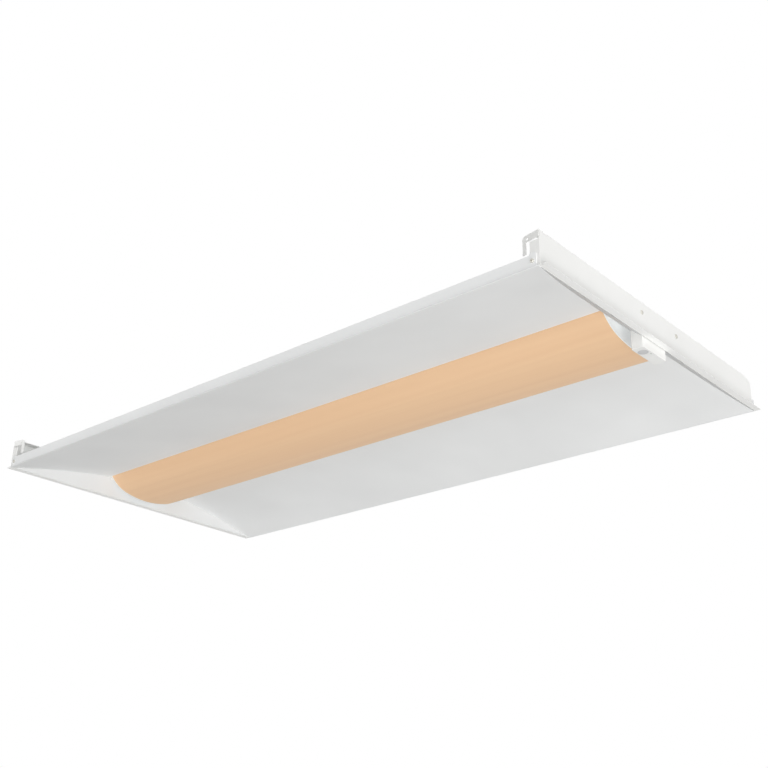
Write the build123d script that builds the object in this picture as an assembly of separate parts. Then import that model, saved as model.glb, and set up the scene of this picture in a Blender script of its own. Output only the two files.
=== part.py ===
from build123d import *
import math
import os

# Recessed ceiling troffer for a 2 ft by 4 ft lay-in grid, seen from the room below.
# X runs along the long side, Y along the short side, Z up. The origin is the centre of the
# grid opening, in the plane of the flange's underside. The sensor is at the +X end, and the
# side with the grid clips is -Y, called the front here.

past = 1.0                       # how far a cut runs past the face it opens (mm)

# ---- Housing (mm) ----
overall_length = 1213.0
overall_width = 603.0
sheet = 0.8                      # steel sheet of the whole housing
end_flange_width = 9.0           # from the end plate's outer face to the flange's edge
flange_notch_inset = 2.0         # small notch in the flange at the front corners
flange_notch_length = 3.0
flange_notch_depth = 2.5
plate_height = 52.0
plate_return_depth = 12.0        # top edge of an end plate, folded inwards
return_front_gap = 10.0
return_back_gap = 4.0
plate_back_edge = 292.5          # the end plate's free edge, on the side without clips
plate_corner_run = 21.0          # sloped top corner there
plate_corner_drop = 5.5
side_panel_length = 13.2         # end plate folded back along the front rail
side_panel_height = 38.5
rail_height = 18.4
rail_end_gap = 4.5               # from the end plate's outer face to the front rail's end
rail_tab_length = 11.0           # rounded tab at the front rail's ends
rail_tab_height = 21.7
rail_tab_corner = 4.0
hem_depth = 6.0
hem_end_gap = 1.0                # to the end plate's side panel
back_tab_width = 24.0            # the back rail's ends, turned in behind the end plates
back_tab_bottom = 3.0
corner_screw_inset = 9.7         # from the end plate's inner face
corner_screw_z = 9.5
corner_screw_depth = 5.0
bottom_strip_width = 2.5         # flat underside along the long edges
strip_lip = 1.0                  # strip proud of the rail

# ---- Coffer ----
coffer_height = 36.0             # inner edge of the side reflectors above the flange
side_bow = 2.6                   # how far the side reflectors bow up from flat
end_edge_gap = 1.7               # dark line between flange and end reflector
end_edge_height = 0.6
near_bow = 1.5                   # of the end reflector beside the sensor
near_overlap = 5.0               # how far it reaches past the bulkhead, beside the diffuser
far_bow = 0.2                    # of the steep end reflector at the other end
far_wall_gap = 0.2               # from the bulkhead to its upper edge
end_leg_height = 14.0            # upturned edge that is spot welded to the end plate
end_leg_half = 200.0
weld_overlap = 0.3
crease_gap = 0.15                # between side and end reflectors along the mitres
leg_top = 46.0                   # inner upturned edge of the side reflectors

# ---- Diffuser ----
diffuser_half_width = 87.5
diffuser_gap = 1.1               # to the side reflectors' inner edge
diffuser_wall = 2.0
diffuser_bottom = 5.5            # lowest point above the flange's underside
crown_radius = 190.0
crown_half_width = 50.0
shoulder_radius = 71.5
near_end_room = 38.5             # from the diffuser's end beside the sensor to the end plate's outer face
far_end_room = 16.5
lip_width = 5.0
lip_half_height = 0.9
lip_root = 0.8                   # how far a lip sinks into the bowed wall
cap_thickness = 1.6
bulkhead_gap = 1.2               # between diffuser end and bulkhead
pivot_y = 80.0
pivot_z = 35.5
pivot_radius = 2.0
pivot_length = 4.5
pivot_rim = 3.0                  # sheet left below the pivot's hole
pivot_relief = 0.6               # around the pivot's end
running_clearance = 0.08
stud_y = -80.0
stud_width = 12.0
stud_thickness = 2.4
stud_height = 7.0
catch_clearance = 0.5
catch_inset = 110.0              # from the diffuser's ends to the outer catches
catch_strip = 0.6
catch_half_width = 5.0
catch_foot = 8.0

# ---- Spine ----
spine_wall_top = 51.2            # upper face of the spine
spine_leg_bottom = 37.6
spine_tab_width = 20.0
spine_tab_bottom = 28.0
rivet_y = 49.0
rivet_z = 35.5
rivet_head_radius = 3.2
rivet_head_height = 1.2
rivet_head_rounding = 0.72
rivet_radius = 2.0
rivet_tail_radius = 2.8
rivet_tail_height = 1.0
hole_clearance = 0.1
side_rivets_per_side = 6
side_rivet_inset = 50.0          # from the diffuser's ends
side_rivet_z = 42.0
bulkhead_foot = 10.0
bulkhead_screw_y = 60.0
bulkhead_foot_margin = 8.0

# ---- Light engine ----
board_width = 24.0
board_thickness = 1.6
board_gap = 6.0                  # between the two boards of a row
board_end_gap = 8.2              # from a board to the bulkhead
board_row_y = 48.0
package_size = 3.0
package_height = 0.8
package_offset = 2.0             # from the middle of the board
board_screw_inset = 4.5
packages_per_board = 20
screws_per_board = 4
screw_radius = 1.5
screw_head_radius = 2.8
screw_head_height = 1.8
recess_length = 2.4
recess_width = 0.6
recess_depth = 0.8
connector_length = 10.0
connector_width = 8.0
connector_height = 4.0
connector_chamfer = 0.6
jumper_pitch = 2.6
connector_inset = 6.5            # from a board's inner end to its connector's centre

# ---- Wiring compartment on the spine ----
cover_start = -400.0
cover_end = 60.0
cover_half_width = 62.0
cover_height = 32.8
cover_foot = 10.0
cover_screw_span = 400.0
door_start = -92.0
door_end = 52.0
door_front = -50.0
opening_margin = 8.0             # the door overlaps the opening's edge by this
door_hinge_gap = 1.0             # from the door's plate to its knuckles
door_rest_gap = 0.2
hinge_y = 58.5
hinge_pin_radius = 1.2
knuckle_radius = 2.2
knuckle_length = 14.0
knuckle_play = 0.2
ear_overlap = 0.6                # of the cover's hinge ears past the pin's axis
hinge_inset = 30.0               # from the door's ends to the hinges
knockout_radius = 11.1           # half-inch trade size conduit hole
knockout_pitch = 34.0
knockout_z = 68.5
knockout_play = 0.15
door_screw_head = 4.0
door_screw_height = 2.5
door_screw_reach = 2.5           # below the cover's top
door_screw_play = 0.5            # in the cover
door_slot_half = 3.2
door_slot_width = 1.0
door_slot_depth = 1.0
driver_length = 270.0
driver_width = 50.0
driver_height = 26.0
driver_start = -385.0
driver_foot = 12.0
driver_foot_half = 8.0
driver_foot_thickness = 1.2
driver_corner = 2.0
terminal_length = 12.0
terminal_width = 16.0
terminal_height = 14.0
terminal_y = 13.0
terminal_lift = 4.0              # above the spine
wire_pitch = 5.0                 # of the wire holes in terminals and connector
wire_height = 12.0               # of the terminals' wire holes above the spine
wire_hole = 1.6
wire_hole_depth = 1.0
supply_connector_x = 22.0
supply_connector_y = -22.0
supply_connector_size = 22.0
supply_connector_height = 15.0
supply_hole_radius = 2.0
supply_hole_depth = 8.0
supply_hole_height = 8.0
supply_connector_chamfer = 1.0
ground_screw_x = 30.0
ground_screw_y = 22.0
lug_radius = 5.0
lug_height = 4.0
lug_lead_height = 3.0            # of the ground lead above the spine, at its lug
bushing_x = -84.0
bushing_radius = 6.0
bushing_flange = 8.0
bushing_lip = 1.2
bushing_wall = 1.5
lead_radius = 1.1
supply_lead_radius = 1.4
lead_arc_share = 0.45            # of the shorter run beside a bend
row_lead_drop = 4.0              # of the leads to the boards below the jumpers

# ---- Sensor ----
sensor_end_gap = 1.2             # from the end plate's inner face
sensor_length = 18.5             # along X
sensor_front = -48.5
sensor_width = 64.0              # along Y
sensor_drop = 16.0               # below the flange's underside
sensor_top = 22.0
sensor_wall = 1.5
sensor_fit = 0.3
sensor_corner = 1.2
fascia_rounding = 0.5
window_radius = 7.6
window_inset = 9.9               # from the sensor's outer face
window_from_front = 16.5
window_depth = 3.0
window_seat_radius = 6.8         # behind the fascia
window_proud = 1.0
indicator_radius = 1.6
indicator_inset = 4.0
indicator_from_front = 28.0
sensor_screws_from_front = (19.5, 43.5)
insert_play = 0.05               # window and indicator in the fascia
sensor_board_thickness = 1.6
plug_inset = 4.0                 # small plug block on the sensor's board
plug_width = 8.0
plug_from_back = 26.0
plug_length = 10.0
plug_height = 3.4
bracket_half_width = 17.5
bracket_top = 33.0
lead_hole_room = 19.5            # from the sensor lead's hole to the end plate's outer face
sensor_lead_y = 4.0
lead_clip_length = 10.0
lead_clip_width = 8.0
lead_clip_height = 4.6
lead_clip_count = 3
lead_clip_rounding = 1.5
lead_clip_start = 20.0           # from the straight stretch's start to the first clip
lead_clip_end = 40.0             # from the last clip to its end
lead_run_y = -30.0               # straight stretch of the sensor lead on the spine
lead_run_after_cover = 70.0
lead_run_before_hole = 98.0
cover_entry_y = -50.0            # where the sensor lead goes into the wiring compartment
cover_entry_z = 57.5
lead_loop_height = 12.0          # of the sensor lead over the spine, at its hole
small_bushing_radius = 3.5
small_bushing_lip = 1.5

# ---- Grid clips ----
clip_length = 27.6
clip_arm_bottom = 42.0
clip_leg_width = 6.0
clip_leg_bottom = 25.0
clip_corner = 5.0
clip_bend = 9.5                  # degrees, stowed inwards
clip_gap = 0.3
wire_hole_radius = 1.8
wire_hole_reach = 19.6
wire_hole_z = 46.0

# ---- Hanger wire holes in the end plates' top returns ----
hanger_hole_radius = 3.0
hanger_half_spacing = 150.0

# ---- Derived places ----
half_length = overall_length / 2
half_width = overall_width / 2
web_out = half_length - end_flange_width
web_in = web_out - sheet
rail_out = half_width - strip_lip
rail_in = rail_out - sheet
panel_in = rail_in - sheet
strip_in = half_width - bottom_strip_width
leg_in = diffuser_half_width + diffuser_gap
leg_out = leg_in + sheet
spine_out = leg_out + sheet
spine_under = spine_wall_top - sheet
diffuser_near_end = web_out - near_end_room
diffuser_far_end = far_end_room - web_out
near_bulkhead = diffuser_near_end + bulkhead_gap
far_bulkhead = diffuser_far_end - bulkhead_gap
diffuser_middle = (diffuser_near_end + diffuser_far_end) / 2
diffuser_half_length = (diffuser_near_end - diffuser_far_end) / 2
catch_spacing = diffuser_half_length - catch_inset
side_rivet_span = 2 * (diffuser_half_length - side_rivet_inset)
board_length = (near_bulkhead - far_bulkhead - board_gap) / 2 - board_end_gap
end_edge_x = web_in - end_edge_gap
near_top_x = near_bulkhead - near_overlap
far_top_x = sheet + far_wall_gap - far_bulkhead
corner_screw_x = web_in - corner_screw_inset
hanger_x = web_in - plate_return_depth / 2
clip_fold_x = web_out - sheet / 2
clip_fold_y = sheet / 2 - rail_in
cover_top = spine_wall_top + cover_height
driver_end = driver_start + driver_length
hinge_z = cover_top + knuckle_radius + door_rest_gap
door_screw_x = (door_start + door_end) / 2
door_screw_y = door_front + opening_margin / 2
screw_hole = screw_radius + hole_clearance
pivot_hole = pivot_radius + running_clearance
rivet_hole = rivet_radius + hole_clearance
sensor_outer_x = web_in - sensor_end_gap
sensor_inner_x = sensor_outer_x - sensor_length
sensor_middle_x = sensor_outer_x - sensor_length / 2
sensor_back = sensor_front + sensor_width
window_x = sensor_outer_x - window_inset
window_y = sensor_front + window_from_front
indicator_x = sensor_outer_x - indicator_inset
indicator_y = sensor_front + indicator_from_front
sensor_screw_ys = [sensor_front + y for y in sensor_screws_from_front]
sensor_lead_hole_x = web_out - lead_hole_room
lead_run_start = cover_end + lead_run_after_cover
lead_run_end = sensor_lead_hole_x - lead_run_before_hole
board_front_starts = (diffuser_middle - board_gap / 2 - board_length, diffuser_middle + board_gap / 2)
board_under = spine_under - board_thickness
far_above = plate_height + 20.0
ear_half = knuckle_length / 4
ear_shift = knuckle_length / 2 + ear_half
lead_z = spine_wall_top + wire_height
fascia_top = sensor_wall - sensor_drop
sensor_board_z = fascia_top + window_depth


def slab(x0, x1, y0, y1, z0, z1):
    centre = Pos((x0 + x1) / 2, (y0 + y1) / 2, (z0 + z1) / 2)
    return centre * Box(abs(x1 - x0), abs(y1 - y0), abs(z1 - z0))


def rod_x(x0, x1, y, z, radius):
    return Pos((x0 + x1) / 2, y, z) * Rot(0, 90, 0) * Cylinder(radius, abs(x1 - x0))


def rod_y(x, y0, y1, z, radius):
    return Pos(x, (y0 + y1) / 2, z) * Rot(90, 0, 0) * Cylinder(radius, abs(y1 - y0))


def rod_z(x, y, z0, z1, radius):
    return Pos(x, y, (z0 + z1) / 2) * Cylinder(radius, abs(z1 - z0))


def prism_x(face, x0, x1):
    """A face drawn as (Y, Z), made solid from x0 to x1."""
    return extrude(Plane.YZ.offset(x0) * face, amount=x1 - x0)


def prism_y(face, y0, y1):
    """A face drawn as (X, Z), made solid from y0 to y1."""
    plane = Plane(origin=(0, y1, 0), x_dir=(1, 0, 0), z_dir=(0, -1, 0))
    return extrude(plane * face, amount=y1 - y0)


def bowed_points(start, end, bow):
    """Start, middle and end of an arc that bows to the left of its direction by bow."""
    run = end[0] - start[0]
    rise = end[1] - start[1]
    chord = math.hypot(run, rise)
    middle = ((start[0] + end[0]) / 2 - rise / chord * bow, (start[1] + end[1]) / 2 + run / chord * bow)
    return start, middle, end


def shifted(point, lift):
    return point[0], point[1] + lift


def band(arc, lift):
    """The sheet between an arc and the same arc lifted."""
    start, middle, end = arc
    return make_face([
        ThreePointArc(start, middle, end),
        Line(end, shifted(end, lift)),
        ThreePointArc(shifted(end, lift), shifted(middle, lift), shifted(start, lift)),
        Line(shifted(start, lift), start),
    ])


def beyond(arc, level):
    """The area between an arc and a level line above or below it."""
    start, middle, end = arc
    return make_face([
        ThreePointArc(start, middle, end),
        Line(end, (end[0], level)),
        Line((end[0], level), (start[0], level)),
        Line((start[0], level), start),
    ])


def lowered(arc, drop):
    return tuple(shifted(point, -drop) for point in arc)


def flip_x(shape):
    return mirror(shape, about=Plane.YZ)


def flip_y(shape):
    return mirror(shape, about=Plane.XZ)


def save(name, shape):
    if isinstance(shape, list):
        shape = Compound(children=shape)
    export_step(shape, f"parts/{name}.step")


def upright(arc, thickness):
    """The height that a thickness across an arc's chord takes up."""
    run = end_run(arc)
    return thickness * math.hypot(run, arc[2][1] - arc[0][1]) / run


def end_run(arc):
    return abs(arc[2][0] - arc[0][0])


side_arc = bowed_points((strip_in, 0.0), (leg_in, coffer_height), -side_bow)
near_arc = bowed_points((end_edge_x, end_edge_height), (near_top_x, coffer_height), near_bow)
far_arc = bowed_points((end_edge_x, end_edge_height), (far_top_x, coffer_height), far_bow)


def above(arc):
    """What a side reflector loses above an end reflector's arc, drawn at +X."""
    return prism_y(beyond(lowered(arc, upright(arc, crease_gap)), far_above), -half_width, half_width)


def side_reflector(front):
    """One long side in +Y: rail, hem, bottom strip, bowed reflector and inner upturned edge."""
    rail_end = web_out - rail_end_gap if front else web_in
    hem_end = web_in - side_panel_length - hem_end_gap
    body = slab(-rail_end, rail_end, rail_in, rail_out, 0, rail_height)
    body += slab(-hem_end, hem_end, rail_out - hem_depth, rail_in, rail_height - sheet, rail_height)
    body += slab(-web_in, web_in, strip_in, half_width, 0, sheet)
    panel = prism_x(band(side_arc, sheet), -end_edge_x, end_edge_x)
    panel -= above(near_arc) + flip_x(above(far_arc))
    body += panel
    body += slab(far_bulkhead, near_top_x, leg_in, leg_out, coffer_height, leg_top)
    below = prism_y(beyond(near_arc, -past), 0, half_width)
    body += slab(near_top_x, near_bulkhead, leg_in, leg_out, 0, leg_top) - below
    for x in side_rivet_places():
        body -= rod_y(x, leg_in - past, leg_out + past, side_rivet_z, rivet_radius + hole_clearance)
    for end in (-1, 1):
        if front:
            tab_face = Pos(end * (rail_end - rail_tab_length / 2), rail_tab_height / 2)
            tab_face *= RectangleRounded(rail_tab_length, rail_tab_height, rail_tab_corner)
            tab = prism_y(tab_face, rail_in, rail_out)
            foot = slab(end * (rail_end - rail_tab_length), end * rail_end, rail_in, rail_out,
                        0, rail_height / 2)
            body += tab + foot
            body -= rod_y(end * corner_screw_x, rail_in - past, rail_out + past, corner_screw_z, screw_hole)
        else:
            body += slab(end * (web_in - sheet), end * web_in, rail_in - back_tab_width, rail_in,
                         back_tab_bottom, rail_height)
    return body if not front else flip_y(body)


def side_rivet_places():
    step = side_rivet_span / (side_rivets_per_side - 1)
    return [diffuser_middle - side_rivet_span / 2 + step * i for i in range(side_rivets_per_side)]


def end_plate():
    """The end plate at +X: web, flange, top return and the side panel at the front corner."""
    outline = Polyline(
        (-rail_in, 0), (plate_back_edge, 0), (plate_back_edge, plate_height - plate_corner_drop),
        (plate_back_edge - plate_corner_run, plate_height), (-rail_in, plate_height), close=True,
    )
    plate = prism_x(make_face(outline), web_in, web_out)
    plate += slab(web_in, half_length, -half_width, half_width, 0, sheet)
    return_end = plate_back_edge - plate_corner_run - return_back_gap
    plate += slab(web_in - plate_return_depth, web_in, return_front_gap - rail_in, return_end,
                  plate_height - sheet, plate_height)
    plate += slab(web_in - side_panel_length, web_in, -rail_in, -panel_in,
                  sheet + clip_gap, side_panel_height)
    relief = clip_arm_bottom - clip_gap
    plate -= slab(web_in - past, web_out + past, -half_width, clip_fold_y + sheet / 2 + clip_gap,
                  relief, plate_height + past)
    plate -= rod_y(corner_screw_x, -rail_in - past, past - panel_in, corner_screw_z, screw_hole)
    for y in (-rivet_y, rivet_y):
        plate -= rod_x(web_in - past, web_out + past, y, rivet_z, rivet_hole)
    for y in (-hanger_half_spacing, hanger_half_spacing):
        plate -= rod_z(hanger_x, y, plate_height - sheet - past, plate_height + past, hanger_hole_radius)
    notch_start = web_out + flange_notch_inset
    plate -= slab(notch_start, notch_start + flange_notch_length, -half_width - past,
                  flange_notch_depth - half_width, -past, sheet + past)
    return plate


def grid_clip():
    """The clip at the +X front corner, bent inwards about its upright fold."""
    tip = clip_fold_x - clip_length
    outer, inner = clip_fold_y - sheet / 2, clip_fold_y + sheet / 2
    arm = slab(tip, clip_fold_x, outer, inner, clip_arm_bottom, plate_height)
    leg = slab(tip, tip + clip_leg_width, outer, inner, clip_leg_bottom, plate_height)
    clip = arm + leg
    outer_edge = clip.edges().filter_by(Axis.Y).sort_by_distance((tip, clip_fold_y, plate_height))[0]
    clip = fillet(outer_edge, clip_corner)
    clip += rod_z(clip_fold_x, clip_fold_y, clip_arm_bottom, plate_height, sheet / 2)
    hole_x = clip_fold_x - wire_hole_reach
    clip -= rod_y(hole_x, outer - past, inner + past, wire_hole_z, wire_hole_radius)
    return clip.rotate(Axis((clip_fold_x, clip_fold_y, 0), (0, 0, 1)), -clip_bend)


def end_reflector(arc, bulkhead_out):
    """An end reflector drawn at +X, notched round the diffuser as far as the bulkhead."""
    panel = prism_y(band(arc, upright(arc, sheet)), -strip_in, strip_in)
    wedge = prism_x(beyond(lowered(side_arc, crease_gap), far_above), 0, half_length)
    panel -= wedge + flip_y(wedge)
    notch_half = leg_out + crease_gap
    notch_end = bulkhead_out + crease_gap
    panel -= slab(arc[2][0] - past, notch_end, -notch_half, notch_half, -past, far_above)
    relief = pivot_radius + pivot_relief
    pin_end = bulkhead_out - sheet - bulkhead_gap + pivot_length
    panel -= slab(notch_end - past, pin_end + pivot_relief, pivot_y - relief, pivot_y + relief,
                  pivot_z - relief, far_above)
    bridge_bottom = end_edge_height + sheet + crease_gap
    panel += slab(end_edge_x - weld_overlap, web_in, -end_leg_half, end_leg_half,
                  bridge_bottom, bridge_bottom + sheet)
    panel += slab(web_in - sheet, web_in, -end_leg_half, end_leg_half, bridge_bottom, end_leg_height)
    return panel


def bulkhead(inner, outer, foot_end):
    """Closes the spine at one end of the diffuser and holds its pivot."""
    plate = slab(inner, outer, -leg_in, leg_in, pivot_z - pivot_radius - pivot_rim, spine_under)
    foot_half = leg_in - bulkhead_foot_margin
    plate += slab(outer, foot_end, -foot_half, foot_half, spine_under - sheet, spine_under)
    plate -= rod_x(min(inner, outer) - past, max(inner, outer) + past, pivot_y, pivot_z, pivot_hole)
    foot_middle = (outer + foot_end) / 2
    for y in (-bulkhead_screw_y, bulkhead_screw_y):
        plate -= rod_z(foot_middle, y, spine_under - sheet - past, spine_under + past, screw_hole)
    return plate


def screw_up(x, y, under, top):
    """A pan head screw from below: the head's bearing face is at under."""
    head = rod_z(x, y, under - screw_head_height, under, screw_head_radius)
    head = fillet(head.faces().sort_by(Axis.Z)[0].edges(), screw_head_height / 2)
    recess = Box(recess_length, recess_width, recess_depth) + Box(recess_width, recess_length, recess_depth)
    recess = Pos(x, y, under - screw_head_height + recess_depth / 2) * recess
    return head + rod_z(x, y, under, top, screw_radius) - recess


def screw_down(x, y, over, bottom):
    """The same screw driven from above."""
    return mirror(screw_up(x, y, 0, over - bottom), about=Plane.XY).translate((0, 0, over))


def screw_side(x, y, z, depth):
    """A pan head screw into the front side: its head stands on the face at y."""
    return screw_up(0, 0, 0, depth).rotate(Axis.X, -90).translate((x, y, z))


def board_screw_places():
    places = []
    pitch = board_length / screws_per_board
    for start in board_front_starts:
        for row in (-board_row_y, board_row_y):
            for i in range(screws_per_board):
                places.append((start + pitch * (i + 0.5), row + board_width / 2 - board_screw_inset))
    return places


def package_places(row):
    pitch = board_length / packages_per_board
    return [(start + pitch * (i + 0.5), row - package_offset)
            for start in board_front_starts for i in range(packages_per_board)]


def led_board(start, row):
    board = slab(start, start + board_length, row - board_width / 2, row + board_width / 2,
                 board_under, spine_under)
    for x, y in board_screw_places():
        if start < x < start + board_length and abs(y - row) < board_width / 2:
            board -= rod_z(x, y, board_under - past, spine_under + past, screw_hole)
    return board


def connector_places():
    inner_left = diffuser_middle - board_gap / 2 - connector_inset
    inner_right = diffuser_middle + board_gap / 2 + connector_inset
    return inner_left, inner_right


def board_connector(x, row):
    body = slab(x - connector_length / 2, x + connector_length / 2, row - connector_width / 2,
                row + connector_width / 2, board_under - connector_height, board_under)
    return chamfer(body.faces().sort_by(Axis.Z)[0].edges(), connector_chamfer)


def cover_screw_places():
    xs = [(cover_start + cover_end) / 2 + cover_screw_span * k / 2 for k in (-1, 0, 1)]
    return [(x, side * (cover_half_width + cover_foot / 2)) for x in xs for side in (-1, 1)]


def driver_screw_places():
    return [(driver_start - driver_foot / 2, 0.0), (driver_end + driver_foot / 2, 0.0)]


def bulkhead_screw_places():
    reach = sheet + bulkhead_foot / 2
    return [(x, y) for x in (near_bulkhead + reach, far_bulkhead - reach)
            for y in (-bulkhead_screw_y, bulkhead_screw_y)]


def spine():
    body = slab(-web_in, web_in, -spine_out, spine_out, spine_under, spine_wall_top)
    for side in (-1, 1):
        body += slab(-web_in, web_in, side * leg_out, side * spine_out, spine_leg_bottom, spine_under)
        for end in (-1, 1):
            middle = side * rivet_y
            tab = slab(end * (web_in - sheet), end * web_in, middle - spine_tab_width / 2,
                       middle + spine_tab_width / 2, spine_tab_bottom, spine_under)
            hole = rod_x(end * (web_in - sheet - past), end * (web_in + past), middle, rivet_z, rivet_hole)
            body += tab - hole
    screws = board_screw_places() + cover_screw_places() + driver_screw_places() + bulkhead_screw_places()
    screws.append((ground_screw_x, ground_screw_y))
    holes = [(x, y, screw_hole) for x, y in screws]
    holes.append((bushing_x, 0, bushing_radius))
    holes.append((sensor_lead_hole_x, sensor_lead_y, small_bushing_radius))
    for x, y, radius in holes:
        body -= rod_z(x, y, spine_under - past, spine_wall_top + past, radius)
    for x in side_rivet_places():
        for side in (-1, 1):
            body -= rod_y(x, side * leg_in, side * (spine_out + past), side_rivet_z, rivet_hole)
    return body


def diffuser_line(inset):
    """Half of the bowed section at an inset from the outer face, as named points."""
    crown_centre = diffuser_bottom + crown_radius
    turn = math.asin(crown_half_width / crown_radius)
    shoulder_y = (crown_radius - shoulder_radius) * math.sin(turn)
    shoulder_z = crown_centre - (crown_radius - shoulder_radius) * math.cos(turn)
    last = math.asin((diffuser_half_width - shoulder_y) / shoulder_radius)
    radius = shoulder_radius - inset
    crown = crown_radius - inset

    def shoulder(angle):
        return shoulder_y + radius * math.sin(angle), shoulder_z - radius * math.cos(angle)

    return {
        "bottom": (0.0, crown_centre - crown),
        "join": (crown * math.sin(turn), crown_centre - crown * math.cos(turn)),
        "shoulder": shoulder((turn + last) / 2),
        "edge": shoulder(last),
    }


def negative(point):
    return -point[0], point[1]


def bowed_edges(line):
    """Three tangent arcs from the -Y edge to the +Y edge."""
    left_join, right_join = negative(line["join"]), line["join"]
    return [
        ThreePointArc(negative(line["edge"]), negative(line["shoulder"]), left_join),
        ThreePointArc(left_join, line["bottom"], right_join),
        ThreePointArc(right_join, line["shoulder"], line["edge"]),
    ]


outer_line = diffuser_line(0.0)
inner_line = diffuser_line(diffuser_wall)
stud_bottom = inner_line["edge"][1] + lip_half_height


def diffuser():
    """The bowed lens with its two inward lips."""
    edges = bowed_edges(outer_line) + bowed_edges(inner_line)
    edges.append(Line(outer_line["edge"], inner_line["edge"]))
    edges.append(Line(negative(outer_line["edge"]), negative(inner_line["edge"])))
    body = prism_x(make_face(edges), diffuser_far_end + cap_thickness, diffuser_near_end - cap_thickness)
    inner_y, inner_z = inner_line["edge"]
    for side in (-1, 1):
        body += slab(diffuser_far_end + cap_thickness, diffuser_near_end - cap_thickness,
                     side * (inner_y - lip_width), side * (inner_y + lip_root),
                     inner_z - lip_half_height, inner_z + lip_half_height)
    return body


def diffuser_cap(inner, outer):
    """A flat end cap with its pivot pin on the +Y side."""
    edges = bowed_edges(outer_line)
    edges.append(Line(outer_line["edge"], negative(outer_line["edge"])))
    start, end = sorted((inner, outer))
    cap = prism_x(make_face(edges), start, end)
    direction = 1 if outer > inner else -1
    return cap + rod_x(inner, outer + direction * pivot_length, pivot_y, pivot_z, pivot_radius)


def catch_places():
    return [diffuser_middle + catch_spacing * k for k in (-1, 0, 1)]


def catch_stud(x):
    """An upright tongue on the diffuser's front lip, with a rounded head."""
    half, third = stud_width / 2, stud_thickness / 3
    stem = slab(x - half, x + half, stud_y - third, stud_y + third, stud_bottom, stud_bottom + stud_height)
    return stem + rod_x(x - half, x + half, stud_y, stud_bottom + stud_height - stud_thickness / 2,
                        stud_thickness / 2)


def catch_clip(x):
    """A spring strip under the spine that straddles the tongue."""
    reach = stud_thickness / 2 + catch_clearance
    outer = reach + catch_strip
    bottom = stud_bottom + stud_height / 2
    x0, x1 = x - catch_half_width, x + catch_half_width
    clip = slab(x0, x1, stud_y - outer, stud_y - reach, bottom, spine_under)
    clip += slab(x0, x1, stud_y + reach, stud_y + outer, bottom, spine_under)
    clip += slab(x0, x1, stud_y - outer, stud_y + reach + catch_foot, spine_under - catch_strip, spine_under)
    return clip


def sweep_radii(points):
    """Tangent arcs as large as each pair of runs allows."""
    radii = []
    for a, b, c in zip(points, points[1:], points[2:]):
        first = Vector(*b) - Vector(*a)
        second = Vector(*c) - Vector(*b)
        turn = math.radians(first.get_angle(second))
        radii.append(lead_arc_share * min(first.length, second.length) / math.tan(turn / 2))
    return radii


def lead(points, radius, name):
    radii = sweep_radii(points)
    print(name, "arc radii", [round(r, 1) for r in radii])
    path = FilletPolyline(*points, radius=radii)
    return sweep(Plane(path @ 0, z_dir=path % 0) * Circle(radius), path=path)


def compartment_cover():
    """The box over the driver: four walls, top with the door opening, feet and hinge knuckles."""
    body = slab(cover_start, cover_end, -cover_half_width, cover_half_width, spine_wall_top, cover_top)
    body -= slab(cover_start + sheet, cover_end - sheet, -cover_half_width + sheet, cover_half_width - sheet,
                 spine_wall_top - past, cover_top - sheet)
    body -= slab(door_start + opening_margin, door_end - opening_margin, door_front + opening_margin,
                 cover_half_width - 2 * opening_margin, cover_top - sheet - past, cover_top + past)
    for side in (-1, 1):
        body += slab(cover_start, cover_end, side * (cover_half_width - sheet),
                     side * (cover_half_width + cover_foot), spine_wall_top, spine_wall_top + sheet)
    for x, y in cover_screw_places():
        body -= rod_z(x, y, spine_wall_top - past, spine_wall_top + sheet + past, screw_hole)
    wall_in, wall_out = cover_end - sheet - past, cover_end + past
    for y in (-knockout_pitch, 0, knockout_pitch):
        body -= rod_x(wall_in, wall_out, y, knockout_z, knockout_radius)
    body -= rod_x(wall_in, wall_out, cover_entry_y, cover_entry_z, small_bushing_radius)
    body -= rod_x(cover_start - past, cover_start + sheet + past, 0, knockout_z, knockout_radius)
    body -= rod_z(door_screw_x, door_screw_y, cover_top - sheet - past, cover_top + past,
                  screw_radius + door_screw_play)
    for x in hinge_places():
        for side in (-1, 1):
            body += cover_knuckle(x + side * ear_shift)
    return body


def hinge_places():
    return door_start + hinge_inset, door_end - hinge_inset


def cover_knuckle(x):
    half = ear_half - knuckle_play
    ear = rod_x(x - half, x + half, hinge_y, hinge_z, knuckle_radius)
    ear += slab(x - half, x + half, hinge_y - ear_overlap, hinge_y + knuckle_radius,
                cover_top - sheet / 2, hinge_z)
    return ear - rod_x(x - half - past, x + half + past, hinge_y, hinge_z, hinge_pin_radius)


def wiring_door():
    """The flat door on the compartment, with two hinge knuckles."""
    under = cover_top + door_rest_gap
    plate_back = hinge_y - knuckle_radius - door_hinge_gap
    plate = slab(door_start, door_end, door_front, plate_back, under, under + sheet)
    plate -= rod_z(door_screw_x, door_screw_y, under - past, under + sheet + past, screw_hole)
    half = knuckle_length / 2 - knuckle_play
    bore = hinge_pin_radius + running_clearance
    for x in hinge_places():
        tongue = slab(x - half, x + half, plate_back - sheet, hinge_y, under, under + sheet)
        tongue += rod_x(x - half, x + half, hinge_y, hinge_z, knuckle_radius)
        plate += tongue - rod_x(x - half - past, x + half + past, hinge_y, hinge_z, bore)
    return plate


def driver_case():
    half = driver_width / 2
    case = slab(driver_start, driver_end, -half, half, spine_wall_top, spine_wall_top + driver_height)
    case = fillet(case.edges().filter_by(Axis.X).group_by(Axis.Z)[-1], driver_corner)
    feet = slab(driver_start - driver_foot, driver_end + driver_foot, -driver_foot_half, driver_foot_half,
                spine_wall_top, spine_wall_top + driver_foot_thickness)
    for x, y in driver_screw_places():
        feet -= rod_z(x, y, spine_wall_top - past, spine_wall_top + driver_foot_thickness + past, screw_hole)
    return case + feet


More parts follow.
